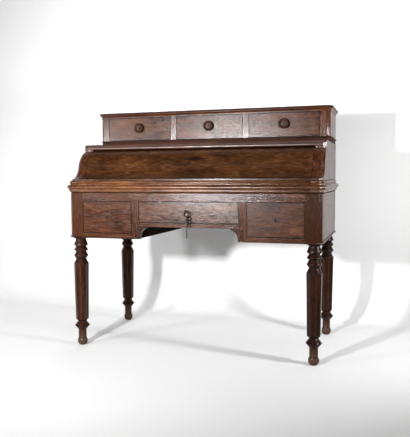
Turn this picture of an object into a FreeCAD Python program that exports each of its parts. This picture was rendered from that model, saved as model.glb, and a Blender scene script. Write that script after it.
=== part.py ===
import FreeCAD, Part
import math
import os

V = FreeCAD.Vector

# Driving dimensions in millimetres. X runs to the right, Y from the front of the case to its back, Z up.

# Base case and legs
case_width = 1210.0
case_depth = 620.0
case_height = 215.0
leg_height = 537.0
corner_cant = 16.0
post_width = 72.0
post_depth = 84.0
side_thick = 20.0
back_thick = 14.0
back_inset = 6.0
rail_thick = 22.0
frieze_height = 37.0
pedestal_rail_height = 23.0
centre_rail_height = 20.0
centre_opening = 482.0
centre_drawer_height = 99.0
stile_width = 36.0
dust_thick = 12.0
dust_rise = 4.0
bracket_width = 40.0
bracket_land = 5.0
bead_size = 6.0
runner_width = 28.0
guide_height = 32.0

# Turned and faceted legs, radii and drops below the case
leg_facets = 8
ring_drops = (39.0, 64.0, 92.0)
ring_radius = 34.0
ring_edge = 4.0
ring_under = 8.0
neck_radius = 24.0
head_drop = 108.0
shoulder_drop = 133.0
shaft_top_radius = 36.5
shaft_foot_radius = 31.5
shaft_foot = 131.0
flat_cut = 0.3
ankle_height = 119.5
ankle_radius = 20.0
collar_height = 98.0
collar_radius = 36.0
collar_drop = 21.0
stem_radius = 19.5
ball_radius = 24.5
ball_centre = 20.0

# Waist with the writing slide
waist_height = 60.0
waist_gap = 5.0
bed_thick = 18.0
bed_setback = 4.0
waist_overhang = 17.0
slide_thick = 26.0
slide_play = 2.0
slide_side_play = 1.0
slide_rear_room = 14.0
runner_reach = 50.0
leather_thick = 1.5
leather_margin = 70.0
leather_depth = 235.0

# Cylinder front between the cheeks, drawn with two tangent arcs
cheek_thick = 50.0
roll_radius = 105.0
flare_radius = 76.0
lean_angle = 12.0
flare_angle = 82.0
nose_height = 6.5
nose_setback = 14.2
panel_thick = 16.0
panel_lap_angle = 8.0
panel_end_play = 1.5
panel_rest_gap = 1.0
roof_clear = 2.8
quadrant_thick = 12.0
boss_radius = 22.0
pin_radius = 6.0
pin_play = 0.08
pin_length = 15.0
pin_room = 1.0
plate_width = 40.0
plate_height = 60.0
plate_thick = 3.0
panel_key_angle = 29.6

# Shelf over the cylinder
shelf_thick = 27.0
shelf_reach = 31.7
shelf_bead = 14.0
shelf_hollow = 25.0

# Upper stage
gradin_inset = 2.0
gradin_front = 338.0
gradin_stile = 48.0
gradin_opening = 118.0
gradin_centre = 350.0
gradin_divider = 31.0
plinth_height = 21.0
plinth_housing = 2.0
bead_board = 8.0
bead_board_reach = 4.0
cornice_height = 18.0
cornice_reach = 10.0
cornice_inside = 20.0
top_thick = 9.0
top_reach = 12.0
nose_share = 0.45

# Fitment inside the desk
fitment_board = 8.0
fitment_clear = 14.3
bay_count = 5
fitment_drawer_height = 56.0
fitment_rear_room = 70.0

# Drawers
drawer_gap = 1.5
run_clear = 0.3
front_thick = 20.0
box_side = 10.0
box_bottom = 5.0
bottom_rise = 8.0
groove_depth = 4.0
box_drop = 5.0
tail_lap = 14.0
tail_share = 0.6
tail_slope = 0.16
base_rear_room = 60.0
gradin_rear_room = 10.0
small_front_thick = 10.0
small_box_side = 6.0
small_tail_lap = 7.0

# Turned knobs
knob_radius = 25.0
knob_reach = 21.0
knob_rise = 5.0
knob_neck_radius = 10.0
spigot_radius = 6.0
spigot_play = 0.05
small_knob_radius = 7.0
small_knob_reach = 13.0

# Locks and keys
lock_width = 60.0
lock_thick = 12.0
lock_plate = 2.0
lock_below_key = 16.0
centre_key_drop = 45.0
side_key_drop = 77.0
key_radius = 2.5
key_play = 0.25
bit_reach = 9.0
bit_width = 3.0
bit_room = 1.0
hole_ends = 6.0
bolt_width = 24.0
bolt_thick = 5.0
bolt_length = 14.0
bolt_play = 0.1
bolt_throw = 8.0
strike_play = 1.0
bow_radius = 8.5
bow_hole = 4.7
bow_thick = 2.0
bow_standoff = 14.0
ring_standoff = 10.0
ring_middle_radius = 15.0
ring_wire_radius = 1.0
ring_seat = 0.1
ring_turn = 20.0
long_bow_radius = 9.5
long_bow_seat = 0.7
long_bow_hole = 5.5
long_shank_radius = 2.3
long_shank = 83.0
long_bit_reach = 8.0
long_bit_length = 11.0

# Levels and places that follow from the sizes above
half_case = case_width / 2
case_bottom = leg_height
case_top = case_bottom + case_height
post_inner = half_case - post_width
post_axis_x = half_case - post_width / 2
back_face = case_depth - back_inset
back_front = back_face - back_thick
stile_inner = centre_opening / 2
stile_outer = stile_inner + stile_width
divider_x = (stile_inner + (stile_width - side_thick) / 2, stile_inner + (stile_width + side_thick) / 2)
drawer_top = case_top - frieze_height
centre_key_z = drawer_top - centre_key_drop
side_key_z = drawer_top - side_key_drop
side_drawer_bottom = case_bottom + pedestal_rail_height
centre_drawer_bottom = drawer_top - centre_drawer_height
knee_top = centre_drawer_bottom - centre_rail_height
waist_top = case_top + waist_height
bed_top = case_top + bed_thick
slide_top = waist_top - slide_play
slide_bottom = slide_top - slide_thick
slide_end = back_front - slide_rear_room
cheek_inner = half_case - cheek_thick
slide_half = cheek_inner - slide_side_play

lean = math.radians(lean_angle)
flare_end = math.radians(flare_angle)
both_radii = roll_radius + flare_radius
pivot_y = nose_setback + both_radii * math.cos(lean) - flare_radius * math.cos(flare_end)
pivot_z = waist_top + nose_height + flare_radius * math.sin(flare_end) - both_radii * math.sin(lean)
flare_y = pivot_y - both_radii * math.cos(lean)
flare_z = pivot_z + both_radii * math.sin(lean)
pivot = V(0, pivot_y, pivot_z)
shelf_bottom = pivot_z + roll_radius + roof_clear
shelf_top = shelf_bottom + shelf_thick
shelf_front = pivot_y - shelf_reach
panel_half = cheek_inner - panel_end_play
fitment_front = pivot_y + roll_radius + fitment_clear

gradin_half = half_case - gradin_inset
gradin_inner = gradin_half - gradin_stile
plinth_top = shelf_top + plinth_height
gradin_floor = plinth_top + bead_board
gradin_roof = gradin_floor + gradin_opening
cornice_top = gradin_roof + cornice_height

key_reach = bow_standoff + 2 * bow_radius
middle_y = (case_depth - key_reach) / 2


def export(node, solids):
    """Write one node, moved so that the origin is on the floor below the middle of the desk."""
    shape = Part.makeCompound(solids)
    shape.translate(V(0, -middle_y, 0))
    shape.exportStep("parts/" + node + ".step")


def box(x, y, z):
    """Square board between three (low, high) pairs."""
    return Part.makeBox(x[1] - x[0], y[1] - y[0], z[1] - z[0], V(x[0], y[0], z[0]))


def mirrored(solid):
    """The same piece for the other side of the desk."""
    return solid.mirror(V(0, 0, 0), V(1, 0, 0))


def pair(solid):
    """A right-hand piece and its left-hand twin."""
    return [solid, mirrored(solid)]


def outline(place, start, *steps):
    """Closed wire. A step is a point, or a way point and an end point of an arc; place sets it in space."""
    edges = []
    here = place(*start)
    for step in steps + (start,):
        if isinstance(step[0], tuple):
            way, end = place(*step[0]), place(*step[1])
            edges.append(Part.Arc(here, way, end).toShape())
        else:
            end = place(*step)
            edges.append(Part.LineSegment(here, end).toShape())
        here = end
    return Part.Wire(edges)


def turned(x, y, start, *steps):
    """Solid turned about the upright axis through x, y from an outline in (radius, height)."""
    wire = outline(lambda r, z: V(x + r, y, z), start, *steps)
    return Part.Face(wire).revolve(V(x, y, 0), V(0, 0, 1), 360)


def turned_forward(x, y, z, start, *steps):
    """Solid turned about the axis that points forward from x, y, z, from an outline in (radius, reach)."""
    wire = outline(lambda r, reach: V(x + r, y - reach, z), start, *steps)
    return Part.Face(wire).revolve(V(x, y, z), V(0, 1, 0), 360)


def moulding(path, start, *steps):
    """Moulding swept along a level path, mitred at each turn, from an outline in (reach, height)."""
    run = (path[1] - path[0]).normalize()
    out = run.cross(V(0, 0, 1))
    profile = outline(lambda reach, z: path[0] + out * reach + V(0, 0, z), start, *steps)
    sweep = Part.BRepOffsetAPI.MakePipeShell(Part.makePolygon(path))
    sweep.setTransitionMode(1)
    sweep.setBiNormalMode(V(0, 0, 1))
    sweep.add(profile)
    sweep.build()
    sweep.makeSolid()
    return sweep.shape()


def canted_path(half, front, back, reach=0.0):
    """Plan of a case with both front corners canted, from back left round the front to back right."""
    cant = corner_cant + reach * (2 - math.sqrt(2))
    wide = half + reach
    near = front - reach
    return [
        V(-wide, back, 0),
        V(-wide, near + cant, 0),
        V(-wide + cant, near, 0),
        V(wide - cant, near, 0),
        V(wide, near + cant, 0),
        V(wide, back, 0),
    ]


def canted_board(half, front, back, z, reach=0.0):
    """Level board with canted front corners."""
    points = canted_path(half, front, back, reach)
    face = Part.Face(Part.makePolygon(points + points[:1]))
    face.translate(V(0, 0, z[0]))
    return face.extrude(V(0, 0, z[1] - z[0]))


def canted_post(x, y, z):
    """Right-hand block with its outer front corner canted."""
    points = [
        V(x[0], y[0], z[0]),
        V(x[1] - corner_cant, y[0], z[0]),
        V(x[1], y[0] + corner_cant, z[0]),
        V(x[1], y[1], z[0]),
        V(x[0], y[1], z[0]),
    ]
    return Part.Face(Part.makePolygon(points + points[:1])).extrude(V(0, 0, z[1] - z[0]))


def round_nose(board, z, radius):
    """Round the top and bottom front and side edges of a level board; its back edge stays square."""
    edges = []
    for edge in board.Edges:
        low, high = edge.BoundBox.ZMin, edge.BoundBox.ZMax
        level = high - low < 0.01 and (abs(low - z[0]) < 0.01 or abs(low - z[1]) < 0.01)
        if level and edge.BoundBox.YMin < board.BoundBox.YMax - 0.01:
            edges.append(edge)
    return board.makeFillet(radius, edges)


# Legs: a square post in the case, turned rings, an eight-sided shaft, a collar and a ball foot
def eight_sided(x, y, low, high):
    """Tapering shaft with flat sides between two (height, radius) ends, one flat to the front."""
    rings = []
    for z, radius in (low, high):
        ring = []
        for i in range(leg_facets + 1):
            turn = 2 * math.pi * (i + 0.5) / leg_facets
            ring.append(V(x + radius * math.sin(turn), y + radius * math.cos(turn), z))
        rings.append(ring)
    faces = [Part.Face(Part.makePolygon(ring)) for ring in rings]
    for i in range(leg_facets):
        corners = [rings[0][i], rings[0][i + 1], rings[1][i + 1], rings[1][i], rings[0][i]]
        faces.append(Part.Face(Part.makePolygon(corners)))
    return Part.makeSolid(Part.makeShell(faces))


def leg(axis_y):
    """Right-hand leg with its post."""
    x = post_axis_x
    head_z = case_bottom - head_drop
    shoulder_z = case_bottom - shoulder_drop
    steps = [(ring_radius, case_bottom)]
    above = case_bottom - ring_edge
    steps.append((ring_radius, above))
    for drop in ring_drops:
        steps.append((neck_radius, above - ring_under))
        above = case_bottom - drop
        steps.append((ring_radius, above))
    steps += [(neck_radius, head_z), (shaft_top_radius, shoulder_z)]
    stem_top = collar_height - collar_drop
    ball_top = ball_centre + math.sqrt(ball_radius ** 2 - stem_radius ** 2)
    foot_radius = math.sqrt(ball_radius ** 2 - ball_centre ** 2)
    steps += [
        (shaft_foot_radius, shaft_foot),
        (ankle_radius, ankle_height),
        (collar_radius, collar_height),
        (stem_radius, stem_top),
        (stem_radius, ball_top),
        ((ball_radius, ball_centre), (foot_radius, 0)),
        (0, 0),
    ]
    spindle = turned(x, axis_y, (0, case_bottom), *steps)
    waste = box((0, case_width), (-post_depth, 2 * case_depth), (ankle_height, head_z))
    taper = (shaft_top_radius - shaft_foot_radius) / (shoulder_z - shaft_foot)
    edge_radius = shaft_foot_radius - flat_cut
    low = (ankle_height, edge_radius + taper * (ankle_height - shaft_foot))
    high = (head_z, edge_radius + taper * (head_z - shaft_foot))
    shaft = eight_sided(x, axis_y, low, high)
    return spindle.cut(waste.cut(shaft))


post_z = (case_bottom, case_top)
front_post = canted_post((post_inner, half_case), (0, post_depth), post_z)
back_post = box((post_inner, half_case), (case_depth - post_depth, case_depth), post_z)
front_leg = leg(post_depth / 2).fuse(front_post).removeSplitter()
back_leg = leg(case_depth - post_depth / 2).fuse(back_post).removeSplitter()

# Boards of the base case
base_side = box((half_case - side_thick, half_case), (post_depth, case_depth - post_depth), post_z)
back_y = (back_front, back_face)
pedestal_back = box((divider_x[0], post_inner), back_y, post_z)
centre_back = box((-divider_x[0], divider_x[0]), back_y, (knee_top, case_top))
rail_y = (0, rail_thick)
frieze_rail = box((-post_inner, post_inner), rail_y, (drawer_top, case_top))
pedestal_rail = box((stile_outer, post_inner), rail_y, (case_bottom, side_drawer_bottom))
centre_rail = box((-stile_inner, stile_inner), rail_y, (knee_top, centre_drawer_bottom))
pedestal_stile = box((stile_inner, stile_outer), rail_y, (case_bottom, drawer_top))
inner_y = (rail_thick, back_front)
inner_side = box(divider_x, inner_y, post_z)

bracket_span = bracket_width - bracket_land
bracket_drop = knee_top - bracket_land - case_bottom
hollow_share = math.sqrt(0.5)
hollow_middle = (stile_inner - bracket_width + bracket_span * hollow_share,
                 case_bottom + bracket_drop * hollow_share)
bracket_wire = outline(
    lambda x, z: V(x, 0, z),
    (stile_inner, knee_top),
    (stile_inner - bracket_width, knee_top),
    (stile_inner - bracket_width, knee_top - bracket_land),
    (hollow_middle, (stile_inner - bracket_land, case_bottom)),
    (stile_inner, case_bottom),
)
knee_bracket = Part.Face(bracket_wire).extrude(V(0, rail_thick, 0))

dust_z = (case_bottom + dust_rise, case_bottom + dust_rise + dust_thick)
pedestal_dust = box((divider_x[1], half_case - side_thick), inner_y, dust_z)
pedestal_dust = pedestal_dust.cut(front_post).cut(back_post)
centre_dust_z = (knee_top + dust_rise, knee_top + dust_rise + dust_thick)
centre_dust = box((-divider_x[0], divider_x[0]), inner_y, centre_dust_z)

bead_path = [V(stile_inner, 0, 0)] + canted_path(half_case, 0, case_depth)[3:]
base_bead = moulding(
    bead_path,
    (0, case_bottom),
    (bead_size * 0.6, case_bottom),
    ((bead_size, case_bottom + bead_size * 0.45), (0, case_bottom + bead_size)),
)

# Runners and guides under and beside the base drawers
side_runner_z = (dust_z[1], side_drawer_bottom)
centre_runner_z = (centre_dust_z[1], centre_drawer_bottom)
guide_x = (post_inner, post_inner + runner_width / 2)
guide_z = (dust_z[1], side_drawer_bottom + guide_height)
centre_guide_z = (centre_dust_z[1], centre_drawer_bottom + guide_height)
runners = pair(box((divider_x[1], divider_x[1] + runner_width), inner_y, side_runner_z))
runners += pair(box((post_inner - runner_width, post_inner), inner_y, side_runner_z))
runners += pair(box(guide_x, (post_depth, case_depth - post_depth), guide_z))
runners += pair(box((stile_inner - runner_width, stile_inner), inner_y, centre_runner_z))
runners += pair(box((stile_inner, divider_x[0]), inner_y, centre_guide_z))

# Waist: bed board, guides of the writing slide and the moulding round the waist
bed_board = canted_board(half_case, bed_setback, case_depth, (case_top, bed_top))
waist_rail = canted_post((cheek_inner, half_case), (0, case_depth), (bed_top, waist_top))
slide_runner = box((cheek_inner - runner_reach, cheek_inner), (rail_thick, back_front),
                   (bed_top, slide_bottom - run_clear))

waist_low = case_top + waist_gap
waist_rise = slide_top - waist_low


def on_waist(reach_share, rise_share):
    """Point of the waist moulding as shares of its overhang and its height."""
    return (waist_overhang * reach_share, waist_low + waist_rise * rise_share)


waist_steps = (
    on_waist(0, 0),
    on_waist(0.2, 0),
    on_waist(0.4, 0.085),
    on_waist(0.4, 0.19),
    on_waist(0.55, 0.19),
    (on_waist(0.62, 0.3), on_waist(1, 0.38)),
    on_waist(1, 0.47),
    (on_waist(0.7, 0.61), on_waist(0.1, 0.68)),
    on_waist(0.1, 0.735),
    (on_waist(0.3, 0.85), on_waist(0, 1)),
)
side_path = [V(cheek_inner, 0, 0)] + canted_path(half_case, 0, case_depth)[3:]
waist_side = moulding(side_path, *waist_steps)
slide_front = moulding([V(-slide_half, 0, 0), V(slide_half, 0, 0)], *waist_steps)

leather_x = (leather_margin - slide_half, slide_half - leather_margin)
leather_y = (leather_margin, leather_margin + leather_depth)
leather = box(leather_x, leather_y, (slide_top - leather_thick, slide_top))
slide_board = box((-slide_half, slide_half), (0, slide_end), (slide_bottom, slide_top)).cut(leather)


# Cylinder front: both curves in (depth, height), measured from the pivot and from the middle of the flare
def on_roll(radius, angle):
    """Point on an arc about the pivot; the angle rises from straight forward."""
    return (pivot_y - radius * math.cos(angle), pivot_z + radius * math.sin(angle))


def on_flare(radius, angle):
    """Point on an arc about the middle of the flare; the angle falls from straight back."""
    return (flare_y + radius * math.cos(angle), flare_z - radius * math.sin(angle))


def along_pivot(radius, x, length):
    """Round bar or bore on the axis of the cylinder, to the right from x."""
    return Part.makeCylinder(radius, length, V(x, pivot_y, pivot_z), V(1, 0, 0))


def cheek_outline(x, setback):
    """Side outline of a cheek whose moulded front edge lies a little further back."""
    def moved(point):
        return (point[0] + setback, point[1])

    top_angle = math.acos(shelf_reach / roll_radius)
    nose = on_flare(flare_radius, flare_end)
    return outline(
        lambda y, z: V(x, y, z),
        (case_depth, waist_top),
        (case_depth, shelf_bottom),
        moved((shelf_front, shelf_bottom)),
        moved(on_roll(roll_radius, top_angle)),
        (moved(on_roll(roll_radius, (top_angle + lean) / 2)), moved(on_roll(roll_radius, lean))),
        (moved(on_flare(flare_radius, (lean + flare_end) / 2)), moved(nose)),
        moved((nose[0], waist_top)),
    )


cant_x = half_case - corner_cant
cheek_body = Part.Face(cheek_outline(cheek_inner, 0)).extrude(V(cheek_thick - corner_cant, 0, 0))
cheek_cant = Part.makeLoft([cheek_outline(cant_x, 0), cheek_outline(half_case, corner_cant)], True, True)
plate_x = (cheek_inner, cheek_inner + plate_thick)
pivot_plate = box(plate_x, (pivot_y - plate_width / 2, pivot_y + plate_width / 2),
                  (pivot_z - plate_height / 2, pivot_z + plate_height / 2))
pivot_room = along_pivot(pin_radius + pin_room, cheek_inner, pin_length + pin_room)
cheek = cheek_body.fuse(cheek_cant).removeSplitter().cut(pivot_plate).cut(pivot_room)
plate_bore = along_pivot(pin_radius + pin_play, cheek_inner, plate_thick)
pivot_plate = pivot_plate.cut(plate_bore)

inner_roll = roll_radius - panel_thick
inner_flare = flare_radius + panel_thick
panel_bottom = slide_top + panel_rest_gap
lap = math.pi / 2 + math.radians(panel_lap_angle)
nose = on_flare(flare_radius, flare_end)
heel_angle = math.asin((flare_z - panel_bottom) / inner_flare)
panel_wire = outline(
    lambda y, z: V(-panel_half, y, z),
    (nose[0], panel_bottom),
    nose,
    (on_flare(flare_radius, (lean + flare_end) / 2), on_flare(flare_radius, lean)),
    (on_roll(roll_radius, (lean + lap) / 2), on_roll(roll_radius, lap)),
    on_roll(inner_roll, lap),
    (on_roll(inner_roll, (lean + lap) / 2), on_roll(inner_roll, lean)),
    (on_flare(inner_flare, (lean + heel_angle) / 2), on_flare(inner_flare, heel_angle)),
)
panel = Part.Face(panel_wire).extrude(V(2 * panel_half, 0, 0))

quadrant_x = panel_half - quadrant_thick
quadrant_wire = outline(
    lambda y, z: V(quadrant_x, y, z),
    on_roll(inner_roll, lean),
    (on_roll(inner_roll, (lean + lap) / 2), on_roll(inner_roll, lap)),
    on_roll(boss_radius, lap),
    (on_roll(boss_radius, (lean + lap) / 2 + math.pi), on_roll(boss_radius, lean)),
)
pin_end = cheek_inner + pin_length
pivot_pin = along_pivot(pin_radius, quadrant_x, pin_end - quadrant_x)
quadrant_bore = along_pivot(pin_radius + pin_play, quadrant_x, quadrant_thick)
quadrant = Part.Face(quadrant_wire).extrude(V(quadrant_thick, 0, 0)).cut(quadrant_bore)


# Locks: a keyhole is a round hole with a slot below it
def keyhole(x, y, z, length):
    """Solid of a keyhole that runs back from x, y, z."""
    hole = Part.makeCylinder(key_radius + key_play, length, V(x, y, z), V(0, 1, 0))
    half = bit_width / 2 + key_play
    slot = box((x - half, x + half), (y, y + length), (z - bit_reach - key_play, z))
    return hole.fuse(slot).removeSplitter()


def key_chamber(x, y, z):
    """Square room inside a lock in which the bit of the key turns."""
    half = bit_reach + bit_room
    return box((x - half, x + half), (y, y + lock_thick - lock_plate), (z - half, z + half))


def lock_case(x, z, y_back, top):
    """Lock let into the back of a drawer front, with a chamber for the bit of the key."""
    face = y_back - lock_thick
    case = box((x - lock_width / 2, x + lock_width / 2), (face, y_back), (z - lock_below_key, top))
    return case, case.cut(key_chamber(x, face, z))


panel_lock_reach = math.sqrt(inner_roll ** 2 - lock_below_key ** 2) - key_play
panel_face = pivot_y - roll_radius
panel_lock_y = pivot_y - panel_lock_reach
panel_lock = box(
    (-lock_width / 2, lock_width / 2),
    (panel_lock_y, panel_lock_y + lock_thick),
    (pivot_z - lock_below_key, pivot_z + lock_below_key),
)
panel_chamber = key_chamber(0, panel_lock_y, pivot_z)
panel_lock = panel_lock.cut(panel_chamber)
panel_hole = keyhole(0, panel_face - hole_ends, pivot_z, panel_thick + 2 * hole_ends)
for piece in (panel_lock, panel_hole):
    piece.rotate(pivot, V(1, 0, 0), -panel_key_angle)
panel = panel.cut(panel_hole)

# Shelf over the cylinder: a bead below, a hollow above it
bead_back = shelf_front + shelf_bead * 0.3
shelf_wire = outline(
    lambda y, z: V(-half_case, y, z),
    (case_depth, shelf_bottom),
    (bead_back, shelf_bottom),
    ((shelf_front, shelf_bottom + shelf_bead / 2), (bead_back, shelf_bottom + shelf_bead)),
    ((shelf_front + shelf_hollow * 0.55, shelf_bottom + shelf_bead + (shelf_thick - shelf_bead) * 0.3),
     (shelf_front + shelf_hollow, shelf_top)),
    (case_depth, shelf_top),
)
shelf = Part.Face(shelf_wire).extrude(V(case_width, 0, 0))
for side in (-1, 1):
    tip = V(side * half_case, shelf_front, shelf_bottom)
    waste = Part.makePolygon([tip, tip - V(side * corner_cant, 0, 0), tip + V(0, corner_cant, 0), tip])
    shelf = shelf.cut(Part.Face(waste).extrude(V(0, 0, shelf_thick)))

# Upper stage, let into a shallow housing in the shelf
plinth = canted_board(gradin_half, gradin_front, case_depth, (shelf_top - plinth_housing, plinth_top))
shelf = shelf.cut(plinth)
bead_z = (plinth_top, gradin_floor)
bead = canted_board(gradin_half, gradin_front, case_depth, bead_z, bead_board_reach)
bead = round_nose(bead, bead_z, nose_share * bead_board)
gradin_z = (gradin_floor, gradin_roof)
cornice = moulding(
    canted_path(gradin_half, gradin_front, case_depth),
    (-cornice_inside, gradin_roof),
    (cornice_reach * 0.15, gradin_roof),
    (cornice_reach * 0.15, gradin_roof + cornice_height * 0.17),
    ((cornice_reach * 0.38, gradin_roof + cornice_height * 0.62),
     (cornice_reach, gradin_roof + cornice_height * 0.86)),
    (cornice_reach, cornice_top),
    (-cornice_inside, cornice_top),
)
upright_z = (gradin_floor, cornice_top)
gradin_side = canted_post((gradin_inner, gradin_half), (gradin_front, case_depth), upright_z).cut(cornice)
centre_half = gradin_centre / 2
divider = box((centre_half, centre_half + gradin_divider), (gradin_front, back_front), upright_z).cut(cornice)
gradin_back = box((-gradin_inner, gradin_inner), back_y, upright_z)
desk_back = box((-cheek_inner, cheek_inner), back_y, (bed_top, shelf_bottom))
top_z = (cornice_top, cornice_top + top_thick)
top_board = canted_board(gradin_half, gradin_front, case_depth, top_z, top_reach)
top_board = round_nose(top_board, top_z, nose_share * top_thick)

# Fitment of pigeonholes at the back of the desk
fitment_y = (fitment_front, back_front)
bay_width = (2 * cheek_inner - (bay_count + 1) * fitment_board) / bay_count
fitment_floor = waist_top + fitment_board
bay_pitch = bay_width + fitment_board
bay_starts = [-cheek_inner + fitment_board + i * bay_pitch for i in range(bay_count)]
bays = [(start, start + bay_width) for start in bay_starts]
fitment = [box((-cheek_inner, cheek_inner), fitment_y, (waist_top, fitment_floor))]
upright_starts = [-cheek_inner] + [bay[1] for bay in bays]
for start in upright_starts:
    fitment.append(box((start, start + fitment_board), fitment_y, (fitment_floor, shelf_bottom)))
drawer_bays = {"left": bays[1], "right": bays[bay_count - 2]}
fitment_drawer_top = fitment_floor + fitment_drawer_height
for bay in drawer_bays.values():
    fitment.append(box(bay, fitment_y, (fitment_drawer_top, fitment_drawer_top + fitment_board)))


# Drawers: sides dovetailed into the back of the front, bottom in grooves
def dovetails(x, y_root, z, thick, reach, count):
    """Tails on the front end of a drawer side, spread over its height."""
    pitch = (z[1] - z[0]) / count
    root = pitch * tail_share / 2
    tip = root + reach * tail_slope
    tails = []
    for i in range(count):
        middle = z[0] + (i + 0.5) * pitch
        wire = outline(
            lambda y, dz: V(x, y, middle + dz),
            (y_root, -root),
            (y_root - reach, -tip),
            (y_root - reach, tip),
            (y_root, root),
        )
        tails.append(Part.Face(wire).extrude(V(thick, 0, 0)))
    return tails


def drawer(x, z, y_front, end, count, thick=front_thick, side=box_side, reach=tail_lap):
    """Front, and the two sides, back and bottom of the box, of a drawer in the opening x, z."""
    left, right = x[0] + drawer_gap, x[1] - drawer_gap
    low, high = z[0] + drawer_gap, z[1] - drawer_gap
    joint = y_front + thick
    base, rim = z[0] + run_clear, high - box_drop
    front = box((left, right), (y_front, joint), (low, high))
    floor_z = (base + bottom_rise, base + bottom_rise + box_bottom)
    into = min(groove_depth, side / 2)
    floor = box((left + side - into, right - side + into), (joint - into, end), floor_z)
    back = box((left + side, right - side), (end - side, end), (floor_z[1], rim))
    sides = []
    for x0 in (left, right - side):
        plank = box((x0, x0 + side), (joint, end), (base, rim))
        tails = dovetails(x0, joint, (low, rim), side, reach, count)
        plank = plank.multiFuse(tails).removeSplitter()
        front = front.cut(plank)
        sides.append(plank.cut(floor))
    return front.cut(floor), sides + [back, floor]


def knob(x, y, z):
    """Turned wooden knob: spigot, neck, broad rim and a dished face with a boss in the middle."""
    rim = knob_radius
    return turned_forward(
        x, y, z,
        (0, -front_thick),
        (spigot_radius, -front_thick),
        (spigot_radius, 0),
        (knob_neck_radius, 0),
        (knob_neck_radius, knob_reach * 0.3),
        (rim, knob_reach * 0.6),
        (rim, knob_reach * 0.88),
        (rim * 0.86, knob_reach * 0.95),
        (rim * 0.5, knob_reach * 0.76),
        (rim * 0.24, knob_reach * 0.76),
        (rim * 0.24, knob_reach),
        (0, knob_reach),
    )


def small_knob(x, y, z):
    """Little turned knob of a fitment drawer, glued on."""
    rim = small_knob_radius
    return turned_forward(
        x, y, z,
        (0, 0),
        (rim * 0.5, 0),
        (rim, small_knob_reach * 0.5),
        (rim * 0.8, small_knob_reach),
        (0, small_knob_reach),
    )


def spigot_hole(x, y, z):
    """Hole through a drawer front for the spigot of a knob."""
    return Part.makeCylinder(spigot_radius + spigot_play, front_thick, V(x, y, z), V(0, 1, 0))


# Key in the lock of the centre drawer; a split ring with a long key is hung over its stem
bow_y = -bow_standoff - bow_radius
key_z = centre_key_z
drawer_back = front_thick


def bow(y, z, outer, hole):
    """Flat ring handle of a key, upright in the middle plane."""
    disc = Part.makeCylinder(outer, bow_thick, V(-bow_thick / 2, y, z), V(1, 0, 0))
    return disc.cut(Part.makeCylinder(hole, bow_thick, V(-bow_thick / 2, y, z), V(1, 0, 0)))


stem_front = -bow_standoff - (bow_radius - bow_hole) / 2
stem_end = drawer_back - lock_plate - bit_room
stem = Part.makeCylinder(key_radius, stem_end - stem_front, V(0, stem_front, key_z), V(0, 1, 0))
bit_y = (drawer_back - lock_thick + bit_room, stem_end)
bit = box((-bit_width / 2, bit_width / 2), bit_y, (key_z - bit_reach, key_z))
lock_key = bow(bow_y, key_z, bow_radius, bow_hole).multiFuse([stem, bit]).removeSplitter()

ring_y = -ring_standoff
ring_top = key_z + key_radius + ring_wire_radius + ring_seat
ring_turn_rad = math.radians(ring_turn)
ring_normal = V(-math.sin(ring_turn_rad), -math.cos(ring_turn_rad), 0)
ring_centre = V(0, ring_y, ring_top - ring_middle_radius)
ring_back = ring_centre - ring_normal * ring_wire_radius
ring_width = 2 * ring_wire_radius
ring_disc = Part.makeCylinder(ring_middle_radius + ring_wire_radius, ring_width, ring_back, ring_normal)
ring_void = Part.makeCylinder(ring_middle_radius - ring_wire_radius, ring_width, ring_back, ring_normal)
key_ring = ring_disc.cut(ring_void)
ring_low = ring_top - 2 * ring_middle_radius
long_bow_z = ring_low + ring_wire_radius + long_bow_seat - long_bow_hole
shank_top = long_bow_z - (long_bow_radius + long_bow_hole) / 2
shank_end = long_bow_z - long_bow_radius - long_shank
shank = Part.makeCylinder(long_shank_radius, shank_top - shank_end, V(0, ring_y, shank_end))
long_bit = box((-bow_thick / 2, bow_thick / 2), (ring_y - long_bit_reach, ring_y),
               (shank_end + long_shank_radius, shank_end + long_shank_radius + long_bit_length))
long_bow = bow(ring_y, long_bow_z, long_bow_radius, long_bow_hole)
long_key = long_bow.multiFuse([shank, long_bit]).removeSplitter()

bolt_top = drawer_top - drawer_gap
bolt_y = (drawer_back - (lock_thick + bolt_thick) / 2, drawer_back - (lock_thick - bolt_thick) / 2)
bolt_x = (-bolt_width / 2, bolt_width / 2)
lock_bolt = box(bolt_x, bolt_y, (bolt_top - bolt_length, bolt_top - bolt_play))


def roomy(pair_of_ends, play):
    """A (low, high) pair opened by a clearance at both ends."""
    return (pair_of_ends[0] - play, pair_of_ends[1] + play)


channel_z = (bolt_top - bolt_length - bolt_play, bolt_top)
bolt_channel = box(roomy(bolt_x, bolt_play), roomy(bolt_y, bolt_play), channel_z)
strike_z = (drawer_top, drawer_top + bolt_throw + strike_play)
strike = box(roomy(bolt_x, strike_play), roomy(bolt_y, strike_play), strike_z)
frieze_rail = frieze_rail.cut(strike)

os.makedirs("parts", exist_ok=True)

# Fixed carcass
export("legs", pair(front_leg) + pair(back_leg))
export("base_sides", pair(base_side))
export("base_back", pair(pedestal_back) + [centre_back])
export("frieze_rail", [frieze_rail])
export("front_rails", pair(pedestal_rail) + [centre_rail])
export("pedestal_stiles", pair(pedestal_stile))
export("pedestal_inner_sides", pair(inner_side))
export("knee_brackets", pair(knee_bracket))
export("dust_boards", pair(pedestal_dust) + [centre_dust])
export("base_bead", pair(base_bead))
export("drawer_runners", runners)
export("bed_board", [bed_board])
export("slide_guides", pair(waist_rail) + pair(slide_runner))
export("waist_moulding", pair(waist_side))
export("cheeks", pair(cheek))
export("pivot_plates", pair(pivot_plate))
export("desk_back", [desk_back])
export("shelf", [shelf])
export("gradin_base", [plinth, bead])
export("gradin_sides", pair(gradin_side))
export("gradin_dividers", pair(divider))
export("gradin_back", [gradin_back])
export("cornice_moulding", [cornice])
export("top_board", [top_board])
export("pigeonholes", fitment)

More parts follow.
